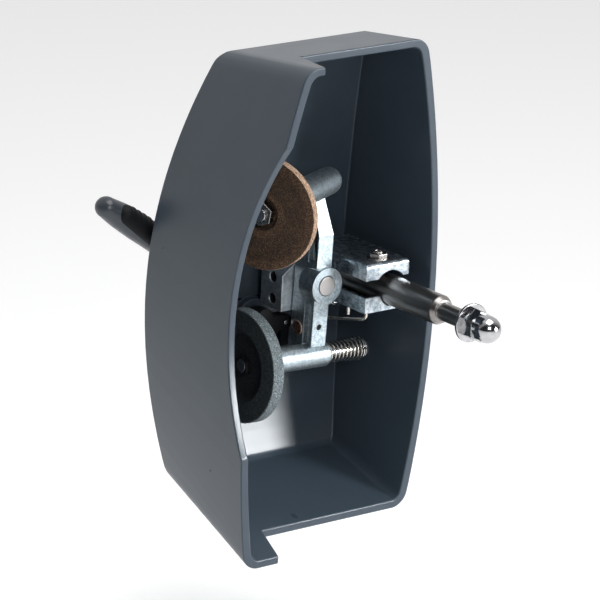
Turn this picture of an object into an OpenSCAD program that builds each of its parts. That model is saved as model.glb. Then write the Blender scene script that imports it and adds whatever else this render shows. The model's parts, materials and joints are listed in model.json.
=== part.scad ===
// Removable sharpener unit for a rotary food slicer: a moulded cover with a
// blade-shaped cut in its left wall, a rocking arm that carries a grinding
// stone and a honing stone, a rear hand lever, and a turned mounting post.
//
// Axes: +Z up, -Y out of the open front, +X to the right seen from the front.
// Origin: the post's axis where it crosses the plane of the cover's main rim.

/* [Cover] */
// Height of the rim above the post's axis
rim_top = 120; // [118:0.5:123]
// Depth of the rim below the post's axis
rim_bottom = 103; // [101:0.5:106]
// Wall thickness
wall = 3.8; // [3.4:0.1:4.2]
// How far the left wall reaches in front of the rim, at the post's height
skirt = 24.4; // [20:0.2:28]
// Bulge of the back wall at mid height
back_bulge = 23; // [22.5:0.1:24]

/* [Blade cut] */
// Radius of the cut that clears the slicer's blade guard
cut_r = 147.4; // [140:0.2:152]

/* [Stones] */
// Grinding stone diameter
grind_d = 52; // [48:0.5:52]
// Grinding stone thickness
grind_t = 4.5; // [4:0.1:5]
// Honing stone diameter
hone_d = 52.6; // [48:0.2:53]
// Honing stone thickness
hone_t = 6.2; // [5.4:0.1:6.2]

/* [Mounting post] */
// Diameter of the thick part of the post
post_d = 13.8; // [12:0.2:13.8]
// Diameter of the neck that drops into the slicer's keyhole
neck_d = 8.5; // [8:0.1:9]

/* [Hidden] */

$fn = 96;
eps = 0.01;
gap = 0.3;              // between pieces that move past each other
run = 0.05;             // radial running clearance

// ---- cover ----
corner_r = 9;           // outside radius of the four long edges
lean = 3.8;             // lean of the left wall, degrees
z_mid = (rim_top - rim_bottom) / 2;
half_h = (rim_top + rim_bottom) / 2;
draft_top = 0.115;      // height lost per mm of depth
draft_bottom = 0.283;
draft_left = 0.094;
draft_right = 0.034;
rim_left = -91.3;       // rim corners, before the bulge
rim_right = 6.1;
bulge_left = 13.4;
bulge_right = 12.3;
back_y = 42.7;          // depth of the back wall's top and bottom edges
back_tilt = 1.9;        // the back wall leans back at its foot, degrees
front_tilt = 2.98;      // so does the left wall's front edge
cut_y = -153.9;         // centre of the blade cut
cut_z = 10.6;
strip_top = 66;         // where the top and bottom strips end, left of the axis
strip_bottom = 76.5;

// ---- rocker ----
pivot = [-27.2, 2.4];   // x and z of the pivot axis
face_y = 22.5;          // front face of the boss
rest_tilt = 2.3;        // the rocker's attitude at rest, degrees
boss_d = 17;
boss_back = 33;
pin_d = 8.9;            // head of the pivot pin, and the journal behind it
journal_d = 6;
head_end = 32.5;
arm_w = 8.5;
arm_front = 25.8;
arm_back = 41.6;
upper_z = 46.3;         // spindle heights above and below the pivot
upper_y = 31.5;
lower_z = -35.5;
lower_y = 32;
upper_d = 13;
lower_d = 12;
bevel = 24.7;           // the grinding spindle's angles to the honing spindle
pitch = 2.35;
grind_face = -58.7;     // stone face, along the grinding spindle
upper_open = -51.3;     // open end of the upper tube
upper_end = 4.8;        // centre of its rounded end
hone_face = -40.4;      // stone face, along the honing spindle
lower_open = -31.6;     // left and right ends of the lower tube
lower_end = 9.7;
spindle_d = 6;
bush_d = 9;
bush_l = 8;

// ---- return spring ----
spring_d = 9.2;         // outside diameters at the tube and at the seat
spring_wide = 11.2;
wire_d = 1.2;
spring_start = lower_end + 0.05;
spring_len = 18.5;
spring_turns = 9;

// ---- block, clamp plates ----
block_y = 42.2;
block_back = 58;
block_left = -37.9;
block_right = 9;
block_bottom = -13.7;
block_top = 12.2;
plate_t = 2;
plate_left = -15.9;
plate_front = 8.5;
clamp = [-4.6, 15];     // x and y of the clamp screw
plate_screws = [[-9.5, -11.4], [6.5, -11.4]];
block_screws_z = [1.4, -8.9];

// ---- lever ----
shaft = [-41.5, -20];   // x and z of the lever shaft
shaft_d = 7;
crank_pin_at = [-33.7, -19.6];
set_screw_at = [-0.3, -20.4];
bush_face = 66.4;
hub_y = 68.3;
hub_l = 10;

// ---------------------------------------------------------------- helpers

// A cylinder of diameter d along Y from y0 to y1, at x and z
module rod_y(d, y0, y1, at = [0, 0], fn = 96)
    translate([at[0], y0, at[1]]) rotate([-90, 0, 0]) cylinder(d = d, h = y1 - y0, $fn = fn);

// The same along X
module rod_x(d, x0, x1, y = 0, z = 0, fn = 96)
    translate([x0, y, z]) rotate([0, 90, 0]) cylinder(d = d, h = x1 - x0, $fn = fn);

// The same along Z
module rod_z(d, z0, z1, x = 0, y = 0, fn = 96)
    translate([x, y, z0]) cylinder(d = d, h = z1 - z0, $fn = fn);

// Box between two corners
module block(a, b) translate(a) cube(b - a);

// Hexagon prism along Z, by its width across flats
module hex(af, h) cylinder(d = af / cos(30), h = h, $fn = 6);

// Ring along X with a bore
module ring_x(d, bore, x0, x1) difference() {
    rod_x(d, x0, x1);
    rod_x(bore, x0 - 1, x1 + 1);
}

// Everything on the rocker is drawn about its pivot, then put in place
module on_rocker() translate([pivot[0], 0, pivot[1]]) rotate([0, rest_tilt, 0]) children();

// Pieces on the grinding spindle: local +X runs from the stone to the tube's blind end
module on_grinding_axis() on_rocker() translate([0, upper_y, upper_z]) rotate([0, -pitch, bevel]) children();

// Pieces on the honing spindle
module on_honing_axis() on_rocker() translate([0, lower_y, lower_z]) children();

// ---------------------------------------------------------------- cover

// Points of a shallow arc from the bottom to the top, bulging by s towards +X
function side_arc(x, z0, z1, s, n = 20) =
    [for (i = [0:n]) let (t = 2 * i / n - 1) [x + s * (1 - t * t), (z0 + z1) / 2 + t * (z1 - z0) / 2]];

// Front-view outline of the shell at depth y, drawn in by inset; the corners are rounded
module outline(y, inset, r) {
    z0 = -rim_bottom + draft_bottom * y + inset;
    z1 = rim_top - draft_top * y - inset;
    xr = rim_right - draft_right * y - inset;
    xl = rim_left + draft_left * y + inset;
    right = side_arc(xr, z0, z1, bulge_right);
    left = [for (p = side_arc(0, z0, z1, bulge_left)) [xl - p[0] + p[1] * tan(lean), p[1]]];
    offset(r = r, $fn = 40) offset(delta = -r)
        polygon(concat(right, [for (i = [len(left) - 1:-1:0]) left[i]]));
}

// The tapered tube of the shell, before its back is rounded off
module shell_tube(inset, r) hull()
    for (y = [-40, 75])
        translate([0, y, 0]) rotate([90, 0, 0]) linear_extrude(0.02) outline(y, inset, r);

// Side outline of the shell in depth (x) and height (y): a bulging back with rounded ends
function back_wall(z) = let (t = (z - z_mid) / half_h)
    back_y - tan(back_tilt) * z + back_bulge * (1 - t * t);
function top_wall(y) = rim_top - draft_top * y - 0.02;
function bottom_wall(y) = -rim_bottom + draft_bottom * y + 0.02;

module side_profile(inset) offset(r = corner_r - inset, $fn = 40) offset(delta = -corner_r)
    intersection() {
        polygon(concat([[-70, 150], [-70, -130]],
                       [for (z = [-130:7:150]) [back_wall(z), z]]));
        polygon([[-60, bottom_wall(-60)], [90, bottom_wall(90)], [90, top_wall(90)], [-60, top_wall(-60)]]);
    }

module shell_solid(inset, r) intersection() {
    shell_tube(inset, r);
    translate([-150, 0, 0]) rotate([90, 0, 90]) linear_extrude(250) side_profile(inset);
}

// Everything in front of the rim that is cut away, except the left wall with its two strips
module front_cutter() {
    // in front of the left wall's edge
    translate([0, -skirt, 0]) rotate([front_tilt, 0, 0]) block([-200, -90, -200], [200, 0, 200]);
    // in front of the rim, right of the strips
    linear_extrude(400, center = true)
        polygon([[-strip_top, 0], [-strip_top - 16, -48], [-strip_top - 16, -90], [100, -90], [100, 0]]);
    // the bottom strip is a little narrower
    translate([0, 0, -200]) linear_extrude(200 - 60)
        polygon([[-strip_bottom, 0], [-strip_bottom - 8, -32], [-strip_bottom - 8, -90], [100, -90], [100, 0]]);
    // the blade's cut
    translate([-200, cut_y, cut_z]) rotate([0, 90, 0]) cylinder(r = cut_r, h = 140, $fn = 240);
}

module cover() color("slategray") difference() {
    union() {
        difference() {
            shell_solid(0, corner_r);
            shell_solid(wall, corner_r - wall);
            front_cutter();
        }
        // pads that carry the mounting block, and the boss round the shaft bush
        for (z = [-8, 8]) rod_y(12, block_back, 63.4, [-14, z]);
        rod_y(18, block_back, bush_face, shaft);
    }
    rod_y(11, 40, 80, shaft);
    for (z = [-8, 8]) {
        rod_y(5.4, 40, 80, [-14, z]);
        rod_y(11.5, 64, 80, [-14, z]);
    }
}

module cover_screws() color("gray") for (z = [-8, 8]) difference() {
    union() {
        rod_y(5, 48, 64, [-14, z]);
        rod_y(9, 64, 67, [-14, z]);
    }
    translate([-14, 65, z]) rotate([-90, 0, 0]) hex(4, 4);
}

module shaft_bush() color("tan") difference() {
    union() {
        rod_y(11, block_back, bush_face, shaft);
        rod_y(14, bush_face, bush_face + 1.5, shaft);
    }
    rod_y(shaft_d + 2 * run, 50, 80, shaft);
}

// ---------------------------------------------------------------- block and clamp

module mounting_block() color("gainsboro") difference() {
    translate([0, block_y, 0]) rotate([90, 0, 0]) mirror([0, 0, 1]) linear_extrude(block_back - block_y)
        polygon([[block_left, block_bottom], [block_right, block_bottom], [block_right, block_top],
                 [-25.4, block_top], [block_left, 3.6]]);
    rod_y(journal_d, 40, 56, pivot);
    rod_y(post_d, 40, 54);
    for (z = block_screws_z) rod_x(5, block_left - 1, block_left + 5.6, 49.2, z);
    for (z = [-8, 8]) rod_y(5, 48, 60, [-14, z]);
    for (at = plate_screws) rod_y(3, 40, 49, at);
}

module block_set_screws() color("dimgray") for (z = block_screws_z) difference() {
    rod_x(5, block_left + 0.6, block_left + 5.6, 49.2, z);
    translate([block_left, 49.2, z]) rotate([0, 90, 0]) hex(2.5, 3.4);
}

module upper_clamp_plate() color("lightsteelblue") {
    top = block_top + plate_t;
    foot = 6.4;
    difference() {
        union() {
            block([plate_left, plate_front, block_top], [block_right, 53, top]);
            block([plate_left, plate_front, foot], [plate_left + plate_t, block_y, top]);
            block([block_right - plate_t, plate_front, foot], [block_right, block_y, top]);
            block([plate_left, plate_front, foot], [block_right, plate_front + plate_t, top]);
        }
        rod_y(18.4, 0, 12, [-1.5, 0.6]);
        rod_z(6, 5, 20, clamp[0], clamp[1]);
        // rounded folds
        fold_cut(plate_left, 1, 0, 60);
        fold_cut(block_right, -1, 0, 60);
        translate([0, plate_front + plate_t, top - plate_t]) rotate([0, 90, 0]) fold_tool(-60, 60);
    }
}

// Removes the sharp outer corner of a fold along Y; side is 1 on the left and -1 on the right
module fold_cut(x, side, y0, y1)
    translate([x + side * plate_t, 0, block_top]) mirror([side > 0 ? 0 : 1, 0, 0]) difference() {
        block([-plate_t - 1, y0, 0], [0, y1, plate_t + 1]);
        rod_y(2 * plate_t, y0 - 1, y1 + 1);
        block([-0.2, y0 - 1, -1], [1, y1 + 1, plate_t]);
    }

// The same for the fold along X, in local axes
module fold_tool(x0, x1) difference() {
    translate([-plate_t - 1, -plate_t - 1, x0]) cube([plate_t + 1, plate_t + 1, x1 - x0]);
    translate([0, 0, x0 - 1]) cylinder(r = plate_t, h = x1 - x0 + 2);
}

module lower_clamp_plate() color("lightsteelblue") {
    floor = -9;
    edge = -1.6;
    difference() {
        union() {
            block([plate_left, plate_front, floor], [block_right, block_y, floor + plate_t]);
            block([plate_left, plate_front, floor], [plate_left + plate_t, block_y, edge]);
            block([block_right - plate_t, plate_front, floor], [block_right, block_y, edge]);
            block([plate_left, plate_front, floor], [block_right, plate_front + plate_t, edge]);
            block([plate_left, block_y - plate_t, block_bottom], [block_right, block_y, floor + plate_t]);
        }
        rod_y(post_d + 0.6, 0, 50);
        for (at = plate_screws) rod_y(3, 30, 49, at);
    }
}

module lower_plate_screws() color("silver") for (at = plate_screws) difference() {
    union() {
        rod_y(3, block_y - plate_t, 48, at);
        rod_y(4.4, 38.6, block_y - plate_t, at);
    }
    translate([at[0], 39.6, at[1]]) rotate([90, 0, 0]) hex(2, 2);
}

module clamp_screw() color("dimgray") difference() {
    rod_z(5, 7.3, 18, clamp[0], clamp[1]);
    translate([clamp[0], clamp[1], 16]) hex(2.5, 3);
}

module clamp_nut() color("silver") difference() {
    translate([clamp[0], clamp[1], 15.1]) hex(8, 2.1);
    rod_z(5, 14, 22, clamp[0], clamp[1]);
}

module clamp_washer() color("silver") difference() {
    rod_z(10.4, block_top + plate_t, 15.1, clamp[0], clamp[1]);
    rod_z(5.3, 10, 22, clamp[0], clamp[1]);
}

module clamp_dowel() color("silver") rod_z(2, -14.2, -9, -12, 25.4);

// ---------------------------------------------------------------- post

module mounting_post() color("silver") {
    rod_y(post_d, -25.2, 54);
    translate([0, -28, 0]) rotate([-90, 0, 0]) cylinder(d1 = neck_d + 2.2, d2 = post_d, h = 2.8);
    rod_y(neck_d, -46.4, -28);
    rod_y(8, -57, -46.4);
}

module post_washer() color("silver") difference() {
    rod_y(18, -48, -46.4);
    rod_y(8.4, -60, -40);
}

module acorn_nut() color("whitesmoke") difference() {
    union() {
        intersection() {
            translate([0, -48, 0]) rotate([90, 30, 0]) hex(13, 6.8);
            translate([0, -48, 0]) rotate([90, 0, 0]) cylinder(d1 = 15.6, d2 = 14.2, h = 6.8);
        }
        rod_y(12.5, -58.6, -54.5);
        translate([0, -58.6, 0]) sphere(d = 12.5);
    }
    rod_y(8, -57, -40);
}

// ---------------------------------------------------------------- rocker

module pivot_pin() color("silver") {
    rod_y(pin_d, face_y - 0.1, head_end, pivot);
    rod_y(journal_d, head_end, 56, pivot);
}

module rocker_arm() color("lightgray") on_rocker() difference() {
    union() {
        // the arm: side profile, extruded across its width
        intersection() {
            translate([-arm_w / 2, 0, 0]) rotate([90, 0, 90]) linear_extrude(arm_w)
                polygon([[arm_front, lower_z + 5.8], [arm_front, 23], [upper_y + 1.5, upper_z - 4],
                         [upper_y + 5, upper_z - 4], [arm_back, 28], [arm_back, lower_z + 7],
                         [lower_y + 5, lower_z], [lower_y, lower_z], [lower_y - 3.2, lower_z + 4.6]]);
            // the right flank leans in above the slope's foot
            rotate([90, 0, 0]) mirror([0, 0, 1]) linear_extrude(60)
                polygon([[-5, -60], [5, -60], [5, 22], [arm_w / 2, 23], [1.4, upper_z], [-5, upper_z]]);
        }
        rod_y(boss_d, face_y, boss_back);
        // upper tube with its round end
        translate([0, upper_y, upper_z]) rotate([0, -pitch, bevel]) {
            rod_x(upper_d, upper_open, upper_end);
            translate([upper_end, 0, 0]) sphere(d = upper_d);
        }
        // lower tube with a bevelled right end
        translate([0, lower_y, lower_z]) {
            rod_x(lower_d, lower_open, lower_end - 1.5);
            translate([lower_end - 1.5, 0, 0]) rotate([0, 90, 0]) cylinder(d1 = lower_d, d2 = lower_d - 1.8, h = 1.5);
        }
    }
    rod_y(pin_d + 2 * run, 0, head_end + 0.2);
    rod_y(journal_d + 2 * run, 0, 60);
    translate([0, face_y - eps, 0]) rotate([-90, 0, 0]) cylinder(d1 = pin_d + 1.3, d2 = pin_d + 2 * run, h = 0.6);
    // grooves of the arm's I section, above and below the boss
    for (s = [-1, 1], z = [[boss_d / 2 + 1, 26], [lower_z + lower_d / 2, -boss_d / 2 - 1]])
        block([s > 0 ? 1.4 : -arm_w, 27.3, z[0]], [s > 0 ? arm_w : -1.4, 32.3, z[1]]);
    // bores of the two tubes
    translate([0, upper_y, upper_z]) rotate([0, -pitch, bevel]) rod_x(bush_d, upper_open - 1, upper_end);
    translate([0, lower_y, lower_z]) rod_x(bush_d, lower_open - 1, lower_end + 1);
    // set screw and rivet holes
    rod_y(3, 20, 27.2, set_screw_at);
    rod_x(4, -10, -1.5, 36.3, -22.8);
}

module rocker_set_screw() color("dimgray") on_rocker() difference() {
    rod_y(3, arm_front + 0.4, 27.1, set_screw_at);
    translate([set_screw_at[0], arm_front + 1, set_screw_at[1]]) rotate([90, 0, 0]) hex(1.5, 2);
}

module rocker_rivet() color("peru") on_rocker() {
    rod_x(4, -arm_w / 2, -1.5, 36.3, -22.8);
    rod_x(7, -arm_w / 2 - 0.8, -arm_w / 2, 36.3, -22.8);
}

// ---------------------------------------------------------------- grinding spindle

module grinding_bushes() color("goldenrod") on_grinding_axis()
    for (x = [upper_open, upper_end - 3 - bush_l]) ring_x(bush_d, spindle_d + 2 * run, x, x + bush_l);

module grinding_spindle() color("silver") on_grinding_axis() {
    rod_x(spindle_d, grind_face - 2.6, upper_end - 1);
}

module grinding_flange() color("silver") on_grinding_axis()
    ring_x(20, spindle_d, grind_face + grind_t, upper_open - gap);

module grinding_stone() color("saddlebrown") on_grinding_axis() difference() {
    rod_x(grind_d, grind_face, grind_face + grind_t);
    rod_x(spindle_d, grind_face - 5, grind_face + 10);
    rod_x(15, grind_face - 1, grind_face + 2.4);
}

module grinding_nut() color("gray") on_grinding_axis() difference() {
    translate([grind_face - 1.4, 0, 0]) rotate([0, 90, 0]) rotate([0, 0, 8]) hex(10, 3.8);
    rod_x(spindle_d, grind_face - 5, grind_face + 10);
}

// ---------------------------------------------------------------- honing spindle

module honing_bushes() color("goldenrod") on_honing_axis()
    for (x = [lower_open, lower_end - bush_l]) ring_x(bush_d, spindle_d + 2 * run, x, x + bush_l);

module honing_spindle() color("silver") on_honing_axis()
    rod_x(spindle_d, hone_face + 1.2, lower_end + spring_len + 4);

module honing_flange() color("silver") on_honing_axis()
    ring_x(20, spindle_d, hone_face + hone_t, lower_open - gap);

module honing_stone() color("darkslategray") on_honing_axis() difference() {
    rod_x(hone_d, hone_face, hone_face + hone_t);
    rod_x(spindle_d, hone_face - 5, hone_face + 10);
    translate([hone_face - eps, 0, 0]) rotate([0, 90, 0]) cylinder(d1 = 33.2, d2 = 29, h = 3.6);
}

module honing_nut() color("dimgray") on_honing_axis() difference() {
    translate([hone_face + 3.6 - eps, 0, 0]) rotate([0, -90, 0]) hex(9, 2.4);
    rod_x(spindle_d, hone_face - 5, hone_face + 10);
}

// Points of one ring of a wire's section: centre c, with its two cross directions
function wire_ring(c, u, v, n = 8) =
    [for (j = [0:n - 1]) c + wire_d / 2 * (cos(360 * j / n) * u + sin(360 * j / n) * v)];

// A closed tube from a list of rings
module ring_tube(rings) {
    n = len(rings[0]);
    m = len(rings);
    polyhedron(
        points = [for (r = rings) each r],
        faces = concat(
            [[for (j = [0:n - 1]) j]],
            [for (i = [0:m - 2], j = [0:n - 1])
                [i * n + j, (i + 1) * n + j, (i + 1) * n + (j + 1) % n, i * n + (j + 1) % n]],
            [[for (j = [n - 1:-1:0]) (m - 1) * n + j]]));
}

// Advance of the return spring after t turns: half a turn lies flat at each end
spring_pitch = (spring_len - wire_d - 0.4) / (spring_turns - 1);
function climb(t) = min(max(t - 0.5, 0), spring_turns - 1) * spring_pitch;

module return_spring() color("silver") on_honing_axis() {
    steps = 20;
    ring_tube([for (i = [0:spring_turns * steps])
        let (t = i / steps, a = 360 * t, r = (spring_d + (spring_wide - spring_d) * t / spring_turns - wire_d) / 2)
        wire_ring([spring_start + wire_d / 2 + 0.2 + climb(t), r * cos(a), r * sin(a)],
                  [1, 0, 0], [0, cos(a), sin(a)], 6)]);
}

module spring_seat() color("silver") on_honing_axis()
    ring_x(11.2, spindle_d + 2 * run, spring_start + spring_len, spring_start + spring_len + 1);

module spring_clip() color("gray") on_honing_axis() {
    x = spring_start + spring_len + 1 + 0.25;
    difference() {
        ring_x(10.6, spindle_d, x, x + 1.6);
        block([x - 1, -1.2, 2], [x + 3, 1.2, 6]);
    }
}

// ---------------------------------------------------------------- lever

module lever_shaft() color("silver") rod_y(shaft_d, 44.6, 76, shaft);

module crank() color("#202020") difference() {
    union() {
        rod_y(10, 43, 49, shaft);
        rod_y(9, 43, 49, [-46, -15.5]);
        rod_y(8, 44, 49, crank_pin_at);
        translate([0, 44, 0]) rotate([90, 0, 0]) mirror([0, 0, 1]) linear_extrude(5)
            polygon([[shaft[0], shaft[1] + 5], [crank_pin_at[0], crank_pin_at[1] + 4],
                     [crank_pin_at[0] + 2.6, crank_pin_at[1] - 2], [crank_pin_at[0] + 2.5, -31],
                     [crank_pin_at[0] - 1.9, -31], [crank_pin_at[0] - 2, crank_pin_at[1] - 3.4],
                     [shaft[0], shaft[1] - 5]]);
    }
    rod_y(shaft_d, 44.6, 60, shaft);
    rod_y(2.2, 40, 60, crank_pin_at);
}

module crank_pin() color("whitesmoke") rod_y(2.2, 43.2, 49, crank_pin_at);

module lever_hub() color("slategray") difference() {
    union() {
        rod_y(20, hub_y, hub_y + hub_l, shaft);
        rod_y(16, hub_y + hub_l, hub_y + hub_l + 1.4, shaft);
    }
    rod_y(shaft_d, 50, 76, shaft);
    rod_z(3.4, -33, -20, shaft[0], hub_y + 5);
}

module hub_screw() color("dimgray") difference() {
    rod_z(3.4, shaft[1] - 9.6, shaft[1] - shaft_d / 2, shaft[0], hub_y + 5);
    translate([shaft[0], hub_y + 5, shaft[1] - 10]) hex(1.7, 2);
}

// Stations along the lever: x, y, z, half height, half depth
LEVER = [
    [-49.6, 73.2, -13, 6.2, 5],
    [-64, 74, 2, 7.4, 6],
    [-87, 77, 20.6, 7.4, 7],
    [-101, 80, 31, 6, 6.4],
    [-110.6, 82, 37, 4, 4.6]
];

module lever_station(s, grow = 0) translate([s[0], s[1], s[2]]) rotate([0, 36, 0])
    scale([0.9, s[4] / s[3], 1]) sphere(r = s[3] + grow, $fn = 28);

module lever_handle() color("slategray") difference() {
    union() {
        for (i = [0:len(LEVER) - 2]) hull() {
            lever_station(LEVER[i]);
            lever_station(LEVER[i + 1]);
        }
    }
    rod_y(20 + 2 * eps, hub_y - 5, hub_y + hub_l + 5, shaft);
    grip_pocket(0);
}

// The grip lies in the upper half of the lever
module grip_pocket(shrink) {
    a = LEVER[1];
    b = LEVER[3];
    ang = atan2(b[2] - a[2], a[0] - b[0]);
    translate([a[0] - 3, a[1] - 5 + 6, a[2] + 3]) rotate([0, ang, 0])
        translate([-36 + shrink, -10 + shrink, 2.6 + shrink])
            cube([37 - 2 * shrink, 24 - 2 * shrink, 12]);
}

module lever_grip() color("#1a1a1a") intersection() {
    grip_pocket(0);
    union() for (i = [1:2]) hull() {
        lever_station(LEVER[i], -0.3);
        lever_station(LEVER[i + 1], -0.3);
    }
}

// ---------------------------------------------------------------- wire spring

WIRE = [[-9.8, 45.5, block_bottom], [-9.8, 45.5, -20.8], [-9.8, 42, -20.8], [-13.8, 10, -12.1],
        [-13.8, 10, -9]];
bend_setback = [0, 1.7, 1.7, 2.9];   // of each corner of the route
wire_spring_d = 1.5;

// The wire's path: each bend is rounded between points set back by b along its two legs
function bend(p, q, r, b, n = 6) =
    let (u = (p - q) / norm(p - q), v = (r - q) / norm(r - q))
    [for (i = [0:n]) let (t = i / n) (1 - t) * (1 - t) * (q + b * u) + 2 * t * (1 - t) * q + t * t * (q + b * v)];

function wire_path() = concat([WIRE[0]],
    [for (i = [1:len(WIRE) - 2]) each bend(WIRE[i - 1], WIRE[i], WIRE[i + 1], bend_setback[i])],
    [WIRE[len(WIRE) - 1]]);

module wire_spring() color("wheat") {
    path = wire_path();
    n = len(path);
    side = [1, 0.12, 0.05];
    ring_tube([for (i = [0:n - 1])
        let (d = path[min(i + 1, n - 1)] - path[max(i - 1, 0)],
             t = d / norm(d),
             u0 = cross(t, side),
             u = u0 / norm(u0),
             v = cross(t, u))
        [for (j = [0:9]) path[i] + wire_spring_d / 2 * (cos(36 * j) * u + sin(36 * j) * v)]]);
}

cover();
mounting_block();
block_set_screws();
cover_screws();
shaft_bush();
upper_clamp_plate();
lower_clamp_plate();
lower_plate_screws();
clamp_screw();
clamp_nut();
clamp_washer();
clamp_dowel();
mounting_post();
post_washer();
acorn_nut();
pivot_pin();
rocker_arm();
rocker_set_screw();
rocker_rivet();
grinding_bushes();
grinding_spindle();
grinding_flange();
grinding_stone();
grinding_nut();
honing_bushes();
honing_spindle();
honing_flange();
honing_stone();
honing_nut();
return_spring();
spring_seat();
spring_clip();
lever_shaft();
crank();
crank_pin();
lever_hub();
hub_screw();
lever_handle();
lever_grip();
wire_spring();
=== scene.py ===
"""Looks of a removable blade sharpener for a slicer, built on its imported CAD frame.

The cover, clamp, post, rocker, two stones and rear lever each have a class that
makes its meshes and dresses them. Sizes are in millimetres and become metres
when a piece leaves the bench.
"""

from __future__ import annotations

import json
import logging
import math
from dataclasses import dataclass, field
from enum import Enum, IntEnum
from typing import Iterable, Sequence

import bmesh
import bpy
from mathutils import Matrix, Vector

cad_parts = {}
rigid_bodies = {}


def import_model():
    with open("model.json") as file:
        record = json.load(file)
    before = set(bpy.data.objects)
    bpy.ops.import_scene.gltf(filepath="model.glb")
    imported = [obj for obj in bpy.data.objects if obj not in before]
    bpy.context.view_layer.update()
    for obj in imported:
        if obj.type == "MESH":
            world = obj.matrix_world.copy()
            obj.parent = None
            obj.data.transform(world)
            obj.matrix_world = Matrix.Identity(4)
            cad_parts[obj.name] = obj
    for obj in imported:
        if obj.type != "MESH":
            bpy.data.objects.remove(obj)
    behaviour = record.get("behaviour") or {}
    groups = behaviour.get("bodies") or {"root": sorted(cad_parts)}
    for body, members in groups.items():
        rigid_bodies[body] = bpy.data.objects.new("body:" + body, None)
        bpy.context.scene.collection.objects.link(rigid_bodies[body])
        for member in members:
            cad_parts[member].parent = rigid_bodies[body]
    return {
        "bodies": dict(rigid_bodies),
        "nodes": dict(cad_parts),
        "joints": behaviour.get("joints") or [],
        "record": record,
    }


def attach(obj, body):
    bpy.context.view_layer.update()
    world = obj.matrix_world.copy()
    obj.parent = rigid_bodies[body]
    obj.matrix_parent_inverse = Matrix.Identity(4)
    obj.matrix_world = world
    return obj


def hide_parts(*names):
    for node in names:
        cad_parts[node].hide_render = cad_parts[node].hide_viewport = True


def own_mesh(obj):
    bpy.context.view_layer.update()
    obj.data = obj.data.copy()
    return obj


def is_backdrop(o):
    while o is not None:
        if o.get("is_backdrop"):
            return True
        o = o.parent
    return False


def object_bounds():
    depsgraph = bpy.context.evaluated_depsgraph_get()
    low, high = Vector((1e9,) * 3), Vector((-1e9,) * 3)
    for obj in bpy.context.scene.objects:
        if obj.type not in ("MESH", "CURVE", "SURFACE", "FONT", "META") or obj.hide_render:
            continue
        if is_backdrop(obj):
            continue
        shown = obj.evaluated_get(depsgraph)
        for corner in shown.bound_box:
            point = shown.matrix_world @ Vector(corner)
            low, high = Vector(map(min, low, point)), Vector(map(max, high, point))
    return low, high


MM = 0.001
log = logging.getLogger("sharpener")

SHARP_DEG = 38.0
ROUND_DEG = 40.0
FLAT_DEG = 0.4
MERGE_MM = 0.001
LATHE_MERGE_MM = 0.0005
LATHE_STEPS = 120

Colour = tuple[float, float, float]
Point = tuple[float, float, float]


# ------------------------------------------------------------------ finishes


class Surface(Enum):
    """The ways in which this object's surfaces were made."""

    MOULDED = "moulded plastic"
    CAST = "die-cast zinc"
    ROLLED = "rolled and plated sheet"
    TURNED = "turned steel"
    POLISHED = "polished steel"
    BONDED = "bonded abrasive"


class Zone(IntEnum):
    """The zones of a stone, by the material index of their faces; the hollows carry painted shade.
    """

    FACE = 0
    # Bore, wells and the worn dish: a darker copy of the stone, painted shade in the hollows.
    SHADED_HOLLOW = 1
    RIM = 2


SOFT_DETAIL, DETAIL, RICH_DETAIL = 2.0, 3.0, 4.0
FLOAT_A, FLOAT_B = 2, 3
COLOUR_A, COLOUR_B, COLOUR_MIXED = 6, 7, 2


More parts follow.
